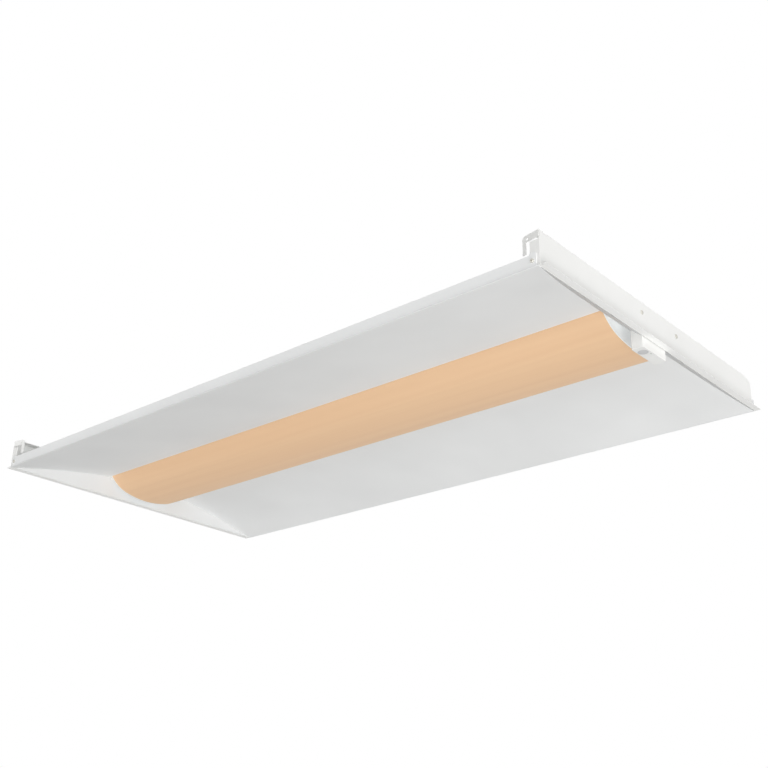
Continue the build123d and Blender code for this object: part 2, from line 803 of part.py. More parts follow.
def driver_terminal(y):
    half, bottom = terminal_width / 2, spine_wall_top + terminal_lift
    face = driver_end + terminal_length
    block = slab(driver_end, face, y - half, y + half, bottom, bottom + terminal_height)
    for k in (-1, 0, 1):
        block -= rod_x(face - wire_hole_depth, face + past, y + wire_pitch * k, lead_z, wire_hole)
    return block


def sensor_block(inset, bottom, top):
    """The sensor's outline, drawn in by an inset."""
    return slab(sensor_inner_x + inset, sensor_outer_x - inset, sensor_front + inset, sensor_back - inset,
                bottom, top)


def sensor_shell():
    """The sensor's box, open below, with its screw and lead holes on top."""
    shell = fillet(sensor_block(0, fascia_top, sensor_top).edges().filter_by(Axis.Z), sensor_corner)
    shell -= sensor_block(sensor_wall, fascia_top - past, sensor_top - sensor_wall)
    roof = sensor_top - sensor_wall - past
    shell -= rod_z(sensor_middle_x, sensor_lead_y, roof, sensor_top + past, lead_radius + hole_clearance)
    for y in sensor_screw_ys:
        shell -= rod_z(sensor_middle_x, y, roof, sensor_top + past, screw_hole)
    return shell


def sensor_fascia():
    """The box's bottom, with round openings for window and indicator."""
    fascia = fillet(sensor_block(0, -sensor_drop, fascia_top).edges().filter_by(Axis.Z), sensor_corner)
    fascia = fillet(fascia.faces().sort_by(Axis.Z)[0].edges(), fascia_rounding)
    under, over = -sensor_drop - past, fascia_top + past
    fascia -= rod_z(window_x, window_y, under, over, window_radius)
    return fascia - rod_z(indicator_x, indicator_y, under, over, indicator_radius)


def sensor_window():
    """A shallow dome with a wider seat behind the fascia."""
    radius = window_radius - insert_play
    window = rod_z(window_x, window_y, -sensor_drop, fascia_top, radius)
    window += rod_z(window_x, window_y, fascia_top, sensor_board_z, window_seat_radius)
    sphere_radius = (radius ** 2 + window_proud ** 2) / (2 * window_proud)
    dome = Pos(window_x, window_y, sphere_radius - sensor_drop - window_proud) * Sphere(sphere_radius)
    below = rod_z(window_x, window_y, -sensor_drop - window_proud - past, -sensor_drop, radius)
    return window + (dome & below)


def sensor_indicator():
    bottom = fascia_rounding - sensor_drop
    return rod_z(indicator_x, indicator_y, bottom, sensor_board_z, indicator_radius - insert_play)


def sensor_board():
    """The board over the fascia, with a small plug block on it."""
    top = sensor_board_z + sensor_board_thickness
    board = sensor_block(sensor_wall, sensor_board_z, top)
    plug_x, plug_y = sensor_inner_x + plug_inset, sensor_back - plug_from_back
    board += slab(plug_x, plug_x + plug_width, plug_y, plug_y + plug_length, top, top + plug_height)
    return board


def sensor_bracket():
    middle = sensor_front + sensor_width / 2
    y0, y1 = middle - bracket_half_width, middle + bracket_half_width
    plate = slab(sensor_inner_x, web_in, y0, y1, sensor_top, sensor_top + sheet)
    plate += slab(web_in - sheet, web_in, y0, y1, sensor_top, bracket_top)
    for y in sensor_screw_ys:
        plate -= rod_z(sensor_middle_x, y, sensor_top - past, sensor_top + sheet + past, screw_hole)
    return plate


os.makedirs("parts", exist_ok=True)

plate = end_plate()
save("end_plate_right", plate)
save("end_plate_left", flip_x(plate))
save("side_reflector_front", side_reflector(True))
save("side_reflector_back", side_reflector(False))

sensor_cut = slab(sensor_inner_x - sensor_fit, web_in - sheet, sensor_front - sensor_fit,
                  sensor_back + sensor_fit, -past, sensor_top)
save("end_reflector_right", end_reflector(near_arc, near_bulkhead + sheet) - sensor_cut)
save("end_reflector_left", flip_x(end_reflector(far_arc, sheet - far_bulkhead)))

save("spine", spine())
save("bulkhead_right", bulkhead(near_bulkhead, near_bulkhead + sheet, near_bulkhead + sheet + bulkhead_foot))
save("bulkhead_left", bulkhead(far_bulkhead, far_bulkhead - sheet, far_bulkhead - sheet - bulkhead_foot))

clip = grid_clip()
save("grid_clip_right", clip)
save("grid_clip_left", flip_x(clip))

plate_rivets = []
for end in (-1, 1):
    for y in (-rivet_y, rivet_y):
        head = rod_x(end * web_out, end * (web_out + rivet_head_height), y, rivet_z, rivet_head_radius)
        crown = head.faces().sort_by(Axis.X)[-1 if end > 0 else 0]
        head = fillet(crown.edges(), rivet_head_rounding)
        tab_in = web_in - sheet
        shank = rod_x(end * tab_in, end * web_out, y, rivet_z, rivet_radius)
        tail = rod_x(end * tab_in, end * (tab_in - rivet_tail_height), y, rivet_z, rivet_tail_radius)
        plate_rivets.append(head + shank + tail)
save("plate_rivets", plate_rivets)

side_rivets = []
for x in side_rivet_places():
    for side in (-1, 1):
        head_end = spine_out + rivet_head_height
        head = rod_y(x, side * spine_out, side * head_end, side_rivet_z, rivet_head_radius)
        side_rivets.append(head + rod_y(x, side * leg_in, side * spine_out, side_rivet_z, rivet_radius))
save("side_rivets", side_rivets)

save("corner_screws", [screw_side(end * corner_screw_x, -rail_out, corner_screw_z, corner_screw_depth)
                       for end in (-1, 1)])

save("diffuser", diffuser())
save("diffuser_cap_right", diffuser_cap(diffuser_near_end - cap_thickness, diffuser_near_end))
save("diffuser_cap_left", diffuser_cap(diffuser_far_end + cap_thickness, diffuser_far_end))
save("catch_studs", [catch_stud(x) for x in catch_places()])
save("catch_clips", [catch_clip(x) for x in catch_places()])

names = {(-1, 0): "led_board_front_left", (-1, 1): "led_board_front_right",
         (1, 0): "led_board_back_left", (1, 1): "led_board_back_right"}
for (side, index), name in names.items():
    save(name, led_board(board_front_starts[index], side * board_row_y))
for side, name in ((-1, "led_packages_front"), (1, "led_packages_back")):
    half = package_size / 2
    save(name, [slab(x - half, x + half, y - half, y + half, board_under - package_height, board_under)
                for x, y in package_places(side * board_row_y)])
save("board_screws", [screw_up(x, y, board_under, spine_wall_top) for x, y in board_screw_places()])
left_connector, right_connector = connector_places()
save("board_connectors", [board_connector(x, side * board_row_y)
                          for x in (left_connector, right_connector) for side in (-1, 1)])
jumper_z = board_under - connector_height / 2
save("jumper_leads", [rod_x(left_connector + connector_length / 2, right_connector - connector_length / 2,
                            side * board_row_y + k * jumper_pitch, jumper_z, lead_radius)
                      for side in (-1, 1) for k in (-0.5, 0.5)])

save("bulkhead_screws", [screw_up(x, y, spine_under - sheet, spine_wall_top)
                         for x, y in bulkhead_screw_places()])

save("driver", driver_case())
save("driver_terminals", [driver_terminal(-terminal_y), driver_terminal(terminal_y)])
save("driver_screws", [screw_down(x, y, spine_wall_top + driver_foot_thickness, spine_under)
                       for x, y in driver_screw_places()])
save("compartment_cover", compartment_cover())
save("cover_screws", [screw_down(x, y, spine_wall_top + sheet, spine_under) for x, y in cover_screw_places()])
save("wiring_door", wiring_door())
pin_half = ear_shift + ear_half
save("door_hinge_pins", [rod_x(x - pin_half, x + pin_half, hinge_y, hinge_z, hinge_pin_radius)
                         for x in hinge_places()])
door_top = cover_top + door_rest_gap + sheet
thumb_top = door_top + door_screw_height
thumb = rod_z(door_screw_x, door_screw_y, door_top, thumb_top, door_screw_head)
thumb += rod_z(door_screw_x, door_screw_y, cover_top - door_screw_reach, door_top, screw_radius)
thumb -= slab(door_screw_x - door_slot_half, door_screw_x + door_slot_half,
              door_screw_y - door_slot_width / 2, door_screw_y + door_slot_width / 2,
              thumb_top - door_slot_depth, thumb_top + past)
save("door_screw", thumb)

slugs = [rod_x(cover_end - sheet, cover_end, y, knockout_z, knockout_radius - knockout_play)
         for y in (-knockout_pitch, 0)]
slugs.append(rod_x(cover_start, cover_start + sheet, 0, knockout_z, knockout_radius - knockout_play))
save("knockout_slugs", slugs)

half = supply_connector_size / 2
supply_z = spine_wall_top + supply_hole_height
block = slab(supply_connector_x - half, supply_connector_x + half, supply_connector_y - half,
             supply_connector_y + half, spine_wall_top, spine_wall_top + supply_connector_height)
block = chamfer(block.faces().sort_by(Axis.Z)[-1].edges(), supply_connector_chamfer)
for k in (-1, 1):
    block -= rod_x(supply_connector_x + half - supply_hole_depth, supply_connector_x + half + past,
                   supply_connector_y + wire_pitch * k, supply_z, supply_hole_radius)
save("supply_connector", block)

start_x = driver_end + terminal_length
connector_face = supply_connector_x - half
live_path = [
    (start_x, -terminal_y - wire_pitch, lead_z),
    (start_x + 30, -terminal_y - wire_pitch, lead_z),
    (connector_face - 42, supply_connector_y - wire_pitch, supply_z),
    (connector_face, supply_connector_y - wire_pitch, supply_z),
]
neutral_path = [
    (start_x, -terminal_y, lead_z),
    (start_x + 30, -terminal_y, lead_z),
    (connector_face - 42, supply_connector_y + wire_pitch, supply_z),
    (connector_face, supply_connector_y + wire_pitch, supply_z),
]
save("live_lead", lead(live_path, supply_lead_radius, "live_lead"))
save("neutral_lead", lead(neutral_path, supply_lead_radius, "neutral_lead"))
ground_path = [
    (start_x, terminal_y + wire_pitch, lead_z),
    (start_x + 28, terminal_y + wire_pitch, lead_z),
    (ground_screw_x - 44, ground_screw_y, spine_wall_top + lug_lead_height),
    (ground_screw_x - lug_radius, ground_screw_y, spine_wall_top + lug_lead_height),
]
save("ground_lead", lead(ground_path, supply_lead_radius, "ground_lead"))
lug_top = spine_wall_top + lug_height
ring = rod_z(ground_screw_x, ground_screw_y, spine_wall_top, lug_top, lug_radius)
ring -= rod_z(ground_screw_x, ground_screw_y, spine_wall_top - past, lug_top + past, screw_hole)
save("ground_lug", ring)
save("ground_screw", screw_down(ground_screw_x, ground_screw_y, lug_top, spine_under))

bushing = rod_z(bushing_x, 0, spine_under, spine_wall_top, bushing_radius)
bushing += rod_z(bushing_x, 0, spine_wall_top, spine_wall_top + bushing_lip, bushing_flange)
bushing += rod_z(bushing_x, 0, spine_under - bushing_lip, spine_under, bushing_flange)
bushing -= rod_z(bushing_x, 0, spine_under - bushing_lip - past, spine_wall_top + bushing_lip + past,
                 bushing_radius - bushing_wall)
save("lead_bushing", bushing)

row_lead_low = jumper_z - row_lead_drop
for side, name in ((-1, "row_lead_front"), (1, "row_lead_back")):
    start_y = terminal_y - 2.5 + side * 2.5
    passing_y = side * 2.0
    row_y = side * board_row_y
    points = [
        (start_x, start_y, lead_z),
        (start_x + 9, start_y, lead_z),
        (bushing_x, passing_y, lead_z - 2.0),
        (bushing_x, passing_y, row_lead_low),
        (bushing_x + 18, side * 22.0, row_lead_low),
        (left_connector - 24, row_y - side * 3.0, row_lead_low + 2.0),
        (left_connector - 15, row_y, jumper_z),
        (left_connector - connector_length / 2, row_y, jumper_z),
    ]
    save(name, lead(points, lead_radius, name))

save("sensor_housing", sensor_shell())
save("sensor_fascia", sensor_fascia())
save("sensor_window", sensor_window())
save("sensor_indicator", sensor_indicator())
save("sensor_board", sensor_board())
save("sensor_bracket", sensor_bracket())
save("sensor_screws", [screw_down(sensor_middle_x, y, sensor_top + sheet, sensor_top - sensor_wall)
                       for y in sensor_screw_ys])


def small_bushing():
    """A plastic ring in a sheet's hole, with its lip on the sheet's outer face at z = 0."""
    ring = rod_z(0, 0, -sheet, 0, small_bushing_radius)
    ring += rod_z(0, 0, 0, sheet, small_bushing_radius + small_bushing_lip)
    return ring - rod_z(0, 0, -sheet - past, sheet + past, lead_radius + hole_clearance)


save("sensor_bushings", [
    Pos(sensor_lead_hole_x, sensor_lead_y, spine_wall_top) * small_bushing(),
    Pos(cover_end, cover_entry_y, cover_entry_z) * Rot(0, 90, 0) * small_bushing(),
])

lead_run_z = spine_wall_top + lead_clip_height / 2
lead_loop_z = spine_wall_top + lead_loop_height
sensor_points = [
    (sensor_middle_x, sensor_lead_y, sensor_top),
    (sensor_middle_x, sensor_lead_y, sensor_top + 10.0),
    (sensor_lead_hole_x, sensor_lead_y, sensor_top + 18.0),
    (sensor_lead_hole_x, sensor_lead_y, lead_loop_z),
    (sensor_lead_hole_x - 22, sensor_lead_y - 2.0, lead_loop_z),
    (lead_run_end + 45, sensor_lead_y - 14.0, lead_run_z),
    (lead_run_end + 5, lead_run_y, lead_run_z),
    (lead_run_start - 5, lead_run_y, lead_run_z),
    (cover_end + 32, cover_entry_y, cover_entry_z),
    (cover_end - 20, cover_entry_y, cover_entry_z),
]
save("sensor_lead", lead(sensor_points, lead_radius, "sensor_lead"))

lead_clips = []
first_clip_x = lead_run_start + lead_clip_start
last_clip_x = lead_run_end - lead_clip_end
for k in range(lead_clip_count):
    x = first_clip_x + (last_clip_x - first_clip_x) * k / (lead_clip_count - 1)
    x0, x1 = x - lead_clip_length / 2, x + lead_clip_length / 2
    clip = slab(x0, x1, lead_run_y - lead_clip_width / 2, lead_run_y + lead_clip_width / 2,
                spine_wall_top, spine_wall_top + lead_clip_height)
    clip = fillet(clip.edges().filter_by(Axis.X).group_by(Axis.Z)[-1], lead_clip_rounding)
    lead_clips.append(clip - rod_x(x0 - past, x1 + past, lead_run_y, lead_run_z, lead_radius))
save("lead_clips", lead_clips)
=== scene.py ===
import math

import bmesh
import bpy
from mathutils import Matrix, Vector


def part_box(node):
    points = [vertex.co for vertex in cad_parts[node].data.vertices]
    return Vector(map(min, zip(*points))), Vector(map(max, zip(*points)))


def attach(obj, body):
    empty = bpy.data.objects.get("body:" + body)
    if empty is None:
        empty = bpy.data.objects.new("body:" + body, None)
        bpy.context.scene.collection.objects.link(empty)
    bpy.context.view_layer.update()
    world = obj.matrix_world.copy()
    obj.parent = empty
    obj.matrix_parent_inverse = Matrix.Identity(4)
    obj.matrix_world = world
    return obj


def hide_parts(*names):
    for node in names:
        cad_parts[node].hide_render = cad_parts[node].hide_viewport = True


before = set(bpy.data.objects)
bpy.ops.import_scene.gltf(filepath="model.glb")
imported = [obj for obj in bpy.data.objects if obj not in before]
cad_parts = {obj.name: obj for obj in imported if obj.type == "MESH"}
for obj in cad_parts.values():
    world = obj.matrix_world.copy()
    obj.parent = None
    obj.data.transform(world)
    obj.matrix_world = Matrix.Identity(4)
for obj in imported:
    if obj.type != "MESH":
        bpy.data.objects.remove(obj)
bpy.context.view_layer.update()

mm = 0.001
noiseRange = (0.3, 0.7)        # nearly all of a noise's values lie between these
wholeRange = (0.0, 1.0)


def toLinear(hexColour):
    # sRGB hex to the linear values that the shader sockets hold
    channels = [int(hexColour[i:i + 2], 16) / 255 for i in (1, 3, 5)]
    return [c / 12.92 if c <= 0.04045 else ((c + 0.055) / 1.055) ** 2.4 for c in channels] + [1.0]


def addNode(tree, kind, settings=None, links=None):
    # a setting that names no input is the node's own; a link starts at a socket, or at a node's first output
    node = tree.nodes.new(kind)
    for name, value in (settings or {}).items():
        if isinstance(name, int) or name in node.inputs:
            node.inputs[name].default_value = value
        else:
            setattr(node, name, value)
    for name, source in (links or {}).items():
        socket = source.outputs[0] if isinstance(source, bpy.types.Node) else source
        tree.links.new(socket, node.inputs[name])
    return node


def startMaterial(name):
    material = bpy.data.materials.new(name)
    material.use_nodes = True
    tree = material.node_tree
    tree.nodes.clear()
    return material, tree


def objectPoints(tree, stretch=(1, 1, 1)):
    # every node's object sits at the origin, so these are the model's own metres
    coords = addNode(tree, "ShaderNodeTexCoord")
    return addNode(tree, "ShaderNodeMapping", {"Scale": stretch}, {"Vector": coords.outputs["Object"]})


def scaleOf(grainMm):
    # a pattern's scale is one over its grain in metres
    return 1 / (grainMm * mm)


def fromTo(within, ends):
    return {"From Min": within[0], "From Max": within[1], "To Min": ends[0], "To Max": ends[1]}


def twoTones(tree, pattern, hexLow, hexHigh, within=noiseRange):
    share = addNode(tree, "ShaderNodeMapRange", fromTo(within, wholeRange), {"Value": pattern})
    settings = {"data_type": "RGBA", 6: toLinear(hexLow), 7: toLinear(hexHigh)}
    return addNode(tree, "ShaderNodeMix", settings, {0: share}).outputs[2]


def finishMaterial(tree, settings, tone, reliefs, sheen=None, roughness=None, within=noiseRange):
    # a relief is a pattern, its depth in mm and how much of it shows, with the finest first;
    # the sheen is the pattern that runs the roughness between its two values
    links = {"Base Color": tone}
    if "Emission Strength" in settings:
        links["Emission Color"] = tone
    if sheen:
        links["Roughness"] = addNode(tree, "ShaderNodeMapRange", fromTo(within, roughness), {"Value": sheen})
    for pattern, depth, share in reliefs:
        under = {"Normal": links["Normal"]} if "Normal" in links else {}
        bump = {"Distance": depth * mm, "Strength": share}
        links["Normal"] = addNode(tree, "ShaderNodeBump", bump, {"Height": pattern, **under})
    shader = addNode(tree, "ShaderNodeBsdfPrincipled", settings, links)
    addNode(tree, "ShaderNodeOutputMaterial", None, {"Surface": shader})


def dress(material, *names):
    for name in names:
        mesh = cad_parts[name].data
        mesh.materials.clear()
        mesh.materials.append(material)


# The housing's bent sheet is powder coated steel.
powderCoat = {
    "light": "#F3F3F1", "shade": "#EDEDEB",   # clean white, a touch warm
    "clouding": 140.0,                        # mm, slow change of film thickness
    "orangePeel": 3.0,                        # mm; the real 1 mm is too fine to show, so it is drawn coarser
    "peelRelief": (0.02, 0.6),                # depth in mm, and the share of it that shows
    "roughness": (0.36, 0.46),
    "ior": 1.5,
}


def powderCoatedSteel(name, spec):
    # baked powder on sheet steel: an even white with a soft, slightly rippled sheen
    material, tree = startMaterial(name)
    points = objectPoints(tree)
    clouds = addNode(tree, "ShaderNodeTexNoise", {"Scale": scaleOf(spec["clouding"])}, {"Vector": points})
    peel = addNode(tree, "ShaderNodeTexNoise", {"Scale": scaleOf(spec["orangePeel"])}, {"Vector": points})
    tone = twoTones(tree, clouds, spec["shade"], spec["light"])
    reliefs = [(peel, *spec["peelRelief"])]
    finishMaterial(tree, {"IOR": spec["ior"]}, tone, reliefs, peel, spec["roughness"])
    return material


housingCoat = powderCoatedSteel("powder_coated_steel", powderCoat)
dress(housingCoat, "end_plate_left", "end_plate_right", "grid_clip_left", "grid_clip_right",
      "bulkhead_left", "bulkhead_right")


# The reflectors are rolled sheet under a matt, highly reflecting enamel.
reflectorPaint = {
    "longTones": ("#F2F3F3", "#ECEDED"),      # light and shade
    "endPaintedShadeTones": ("#E6E7E7", "#E0E1E1"),       # painted shade: the end panels made darker than the long ones
    "clouding": 180.0,                        # mm
    "rollLines": 9.0,                         # mm between the faint lines that roll forming leaves
    "rollStretch": 0.01,                      # the lines run on for a metre
    "lineRelief": (0.015, 0.5),
    "grain": 1.6,                             # mm, drawn coarser than the paint's own grain
    "grainRelief": (0.012, 0.5),
    "roughness": (0.55, 0.66),
    "ior": 1.5,
}


def mattEnamel(name, spec, tones, rolledAlong):
    # rolled sheet under matt enamel: nearly no gloss, and faint lines along the rolling direction
    material, tree = startMaterial(name)
    light, shade = tones
    points = objectPoints(tree)
    stretch = [1.0, 1.0, 1.0]
    stretch[rolledAlong] = spec["rollStretch"]
    rolled = objectPoints(tree, stretch)
    clouds = addNode(tree, "ShaderNodeTexNoise", {"Scale": scaleOf(spec["clouding"])}, {"Vector": points})
    lines = addNode(tree, "ShaderNodeTexNoise", {"Scale": scaleOf(spec["rollLines"])}, {"Vector": rolled})
    grain = addNode(tree, "ShaderNodeTexNoise", {"Scale": scaleOf(spec["grain"])}, {"Vector": points})
    reliefs = [(grain, *spec["grainRelief"]), (lines, *spec["lineRelief"])]
    finishMaterial(tree, {"IOR": spec["ior"]}, twoTones(tree, clouds, shade, light), reliefs,
                   grain, spec["roughness"])
    return material


longPanels = mattEnamel("matt_enamel_long_panels", reflectorPaint, reflectorPaint["longTones"], 0)
# the end panels' darker tones are painted shade
endPanels = mattEnamel("matt_enamel_end_panels", reflectorPaint, reflectorPaint["endPaintedShadeTones"], 1)
dress(longPanels, "side_reflector_front", "side_reflector_back")
dress(endPanels, "end_reflector_left", "end_reflector_right")


# The diffuser is extruded acrylic, frosted.
diffuserLook = {
    "light": "#DFBB96", "shade": "#DBB691",
    "dieLines": 14.0,                         # mm between the soft lines of the extrusion die
    "dieStretch": 0.02,
    "lineRelief": (0.004, 0.5),
    "paintedGlow": 0.15,                             # painted glow: a share of its own colour given off as light, though the part is no lamp
    "frost": 1.2,                             # mm, the frosting drawn coarse enough to show
    "frostDetail": 3.0,
    "frostRelief": (0.015, 0.5),
    "roughness": (0.48, 0.6),
    "ior": 1.49,
}


def frostedAcrylic(name, spec):
    # extruded acrylic with a matt skin: it spreads light, and a painted glow of its own colour keeps its
    # colour soft and even
    material, tree = startMaterial(name)
    drawn = objectPoints(tree, (spec["dieStretch"], 1, 1))
    lines = addNode(tree, "ShaderNodeTexNoise", {"Scale": scaleOf(spec["dieLines"])}, {"Vector": drawn})
    fine = {"Scale": scaleOf(spec["frost"]), "Detail": spec["frostDetail"]}
    frost = addNode(tree, "ShaderNodeTexNoise", fine, {"Vector": objectPoints(tree)})
    tone = twoTones(tree, lines, spec["shade"], spec["light"])
    reliefs = [(frost, *spec["frostRelief"]), (lines, *spec["lineRelief"])]
    # the emission is painted light, which lifts the diffuser's shade evenly
    settings = {"IOR": spec["ior"], "Emission Strength": spec["paintedGlow"]}
    finishMaterial(tree, settings, tone, reliefs, frost, spec["roughness"])
    return material


dress(frostedAcrylic("frosted_extruded_acrylic", diffuserLook), "diffuser", "catch_studs")


# The spine, the wiring compartment and the sensor's bracket are hot-dip galvanised sheet.
zincCoat = {
    "light": "#C4C8CA", "shade": "#A9AEB1",
    "spangle": 11.0,                          # mm, the width of a zinc crystal
    "edgeBend": 6.0,                          # mm, the most that a crystal's edge wanders
    "roughness": (0.46, 0.62),
    "stain": 60.0,                            # mm
    "stainDetail": 4.0,
    "stainTones": ("#FFFFFF", "#C9CBCC"),     # where it is clean and where it is stained
    "stainShare": 0.25,                       # how much of the stain's tones shows
    "stainRelief": (0.02, 0.3),
}


def galvanisedSheet(name, spec):
    # dipped zinc: grey crystals a centimetre wide, each with its own sheen
    material, tree = startMaterial(name)
    points = objectPoints(tree)
    spangle = {"Scale": scaleOf(spec["spangle"])}
    bend = addNode(tree, "ShaderNodeTexNoise", spangle, {"Vector": points})
    byBend = {"data_type": "VECTOR", 0: spec["edgeBend"] * mm}
    bent = addNode(tree, "ShaderNodeMix", byBend, {4: points, 5: bend.outputs["Color"]})
    cells = addNode(tree, "ShaderNodeTexVoronoi", spangle, {"Vector": bent.outputs[1]})
    crystal = addNode(tree, "ShaderNodeSeparateColor", None, {"Color": cells.outputs["Color"]})
    zinc = twoTones(tree, crystal.outputs["Red"], spec["shade"], spec["light"], wholeRange)
    cloudy = {"Scale": scaleOf(spec["stain"]), "Detail": spec["stainDetail"]}
    stain = addNode(tree, "ShaderNodeTexNoise", cloudy, {"Vector": points})
    clean, stained = spec["stainTones"]
    overZinc = {"data_type": "RGBA", "blend_type": "MULTIPLY", 0: spec["stainShare"]}
    tints = {6: zinc, 7: twoTones(tree, stain, stained, clean)}
    tone = addNode(tree, "ShaderNodeMix", overZinc, tints).outputs[2]
    finishMaterial(tree, {"Metallic": 1.0}, tone, [(stain, *spec["stainRelief"])],
                   crystal.outputs["Green"], spec["roughness"], wholeRange)
    return material


zincSheet = galvanisedSheet("hot_dip_galvanised_sheet", zincCoat)
dress(zincSheet, "spine", "compartment_cover", "wiring_door", "knockout_slugs", "sensor_bracket")


# Fasteners are zinc plated, the catches' springs blued, and the driver has a satin aluminium case.
# The lines are in mm, drawn wider than the tool's own. A stretch below 1 runs them along that axis.
metalFinishes = {
    "zinc_plated_steel": {
        "light": "#D8D6CE", "shade": "#BDBBB3", "roughness": (0.26, 0.42),
        "lines": 0.8, "stretch": (1, 1, 1),
    },
    "blued_spring_steel": {
        "light": "#9A9B9E", "shade": "#7C7E83", "roughness": (0.25, 0.38),
        "lines": 1.5, "stretch": (1, 0.1, 1),
    },
    "satin_aluminium_case": {
        "light": "#D9DBDD", "shade": "#C6C8CA", "roughness": (0.3, 0.42),
        "lines": 2.5, "stretch": (0.02, 1, 1),
    },
}
toolMarks = {"Detail": 3.0, "Roughness": 0.6}
toolRelief = (0.01, 0.3)


def brightMetal(name, spec):
    # plated or drawn metal: a clear sheen broken by fine lines from the tool
    material, tree = startMaterial(name)
    marks = {"Scale": scaleOf(spec["lines"]), **toolMarks}
    lines = addNode(tree, "ShaderNodeTexNoise", marks, {"Vector": objectPoints(tree, spec["stretch"])})
    tone = twoTones(tree, lines, spec["shade"], spec["light"])
    finishMaterial(tree, {"Metallic": 1.0}, tone, [(lines, *toolRelief)], lines, spec["roughness"])
    return material


metalOf = {name: brightMetal(name, spec) for name, spec in metalFinishes.items()}
dress(metalOf["zinc_plated_steel"], "plate_rivets", "side_rivets", "corner_screws", "bulkhead_screws",
      "board_screws", "driver_screws", "cover_screws", "door_hinge_pins", "door_screw", "ground_lug",
      "ground_screw", "sensor_screws")
dress(metalOf["blued_spring_steel"], "catch_clips")
dress(metalOf["satin_aluminium_case"], "driver")


# Plastics, rubber and the boards' solder masks have an even skin.
plastics = {
    "moulded_white_abs": {"light": "#F0F0EE", "shade": "#EAEAE8", "roughness": (0.38, 0.48), "ior": 1.54},
    "moulded_natural_nylon": {"light": "#EEEDE6", "shade": "#E4E2DA", "roughness": (0.4, 0.52), "ior": 1.53},
    "moulded_green_polyamide": {
        "light": "#3F8F55", "shade": "#357D49", "roughness": (0.38, 0.5), "ior": 1.53,
    },
    "moulded_black_rubber": {"light": "#2A2A2B", "shade": "#1E1E1F", "roughness": (0.55, 0.7), "ior": 1.5},
    "moulded_opal_acrylic": {
        "light": "#C6C8C8", "shade": "#BEC0C0", "roughness": (0.4, 0.5), "ior": 1.49,
        "paintedGlow": 0.6,                          # painted glow: a share of its colour given off as light, which fills in the shade on it
    },
    "milky_polyethylene_window": {
        "light": "#CDCDCD", "shade": "#C0C0C1", "roughness": (0.3, 0.4), "ior": 1.52,
    },
    "clear_indicator_lens": {"light": "#D2D6CF", "shade": "#C4C9C1", "roughness": (0.12, 0.2), "ior": 1.49},
    "green_solder_mask": {"light": "#1F6B3A", "shade": "#185A30", "roughness": (0.3, 0.4), "ior": 1.5},
    "white_solder_mask": {"light": "#F2F2EE", "shade": "#E9E9E4", "roughness": (0.3, 0.4), "ior": 1.5},
}
mouldTexture = {
    "grain": 0.9,                             # mm; the real 0.1 mm is too fine to show, so drawn coarser
    "relief": (0.012, 0.5),
    "clouding": 35.0,                         # mm
}


def mouldedPlastic(name, spec):
    # injection moulding against a lightly spark-eroded tool: an even colour with a fine, soft grain;
    # opal acrylic also gets a painted glow of its own colour, which fills in the shade on it,
    # and a solder mask is a cured lacquer whose skin looks much the same
    material, tree = startMaterial(name)
    points = objectPoints(tree)
    skin = mouldTexture
    grain = addNode(tree, "ShaderNodeTexNoise", {"Scale": scaleOf(skin["grain"])}, {"Vector": points})
    clouds = addNode(tree, "ShaderNodeTexNoise", {"Scale": scaleOf(skin["clouding"])}, {"Vector": points})
    settings = {"IOR": spec["ior"]}
    # the glow is painted light: nothing behind the caps is lit
    if "paintedGlow" in spec:
        settings["Emission Strength"] = spec["paintedGlow"]
    tone = twoTones(tree, clouds, spec["shade"], spec["light"])
    finishMaterial(tree, settings, tone, [(grain, *skin["relief"])], grain, spec["roughness"])
    return material


plasticOf = {name: mouldedPlastic(name, spec) for name, spec in plastics.items()}
dress(plasticOf["moulded_white_abs"], "sensor_housing", "sensor_fascia")
dress(plasticOf["moulded_natural_nylon"], "board_connectors", "supply_connector", "lead_clips")
dress(plasticOf["moulded_green_polyamide"], "driver_terminals")
dress(plasticOf["moulded_black_rubber"], "lead_bushing", "sensor_bushings")
dress(plasticOf["milky_polyethylene_window"], "sensor_window")
dress(plasticOf["moulded_opal_acrylic"], "diffuser_cap_left", "diffuser_cap_right")
dress(plasticOf["clear_indicator_lens"], "sensor_indicator")
dress(plasticOf["green_solder_mask"], "sensor_board")
boardNames = ["led_board_front_left", "led_board_front_right", "led_board_back_left", "led_board_back_right"]
dress(plasticOf["white_solder_mask"], *boardNames)


# The leads' insulation: light, shade and the leads that have it.
insulation = {
    "black_pvc_insulation": ("#2B2B2C", "#202021", ["live_lead"]),
    "white_pvc_insulation": ("#ECECE8", "#E0E0DB", ["neutral_lead", "row_lead_back", "jumper_leads"]),
    "green_pvc_insulation": ("#2E8B47", "#267A3C", ["ground_lead"]),
    "red_pvc_insulation": ("#B8322A", "#A32A23", ["row_lead_front"]),
    "grey_pvc_jacket": ("#A2A4A5", "#939596", ["sensor_lead"]),
}
insulationSkin = {
    "grain": 1.1,                             # mm, drawn coarser than the real skin's
    "relief": (0.02, 0.4),
    "roughness": (0.34, 0.46),
    "ior": 1.53,
}


def extrudedPvc(name, light, shade):
    # extruded insulation: plain colour with a waxy sheen
    material, tree = startMaterial(name)
    spec = insulationSkin
    points = objectPoints(tree)
    grain = addNode(tree, "ShaderNodeTexNoise", {"Scale": scaleOf(spec["grain"])}, {"Vector": points})
    tone = twoTones(tree, grain, shade, light)
    finishMaterial(tree, {"IOR": spec["ior"]}, tone, [(grain, *spec["relief"])], grain, spec["roughness"])
    return material


for name, (light, shade, leads) in insulation.items():
    dress(extrudedPvc(name, light, shade), *leads)
print("materials made:", len(bpy.data.materials))


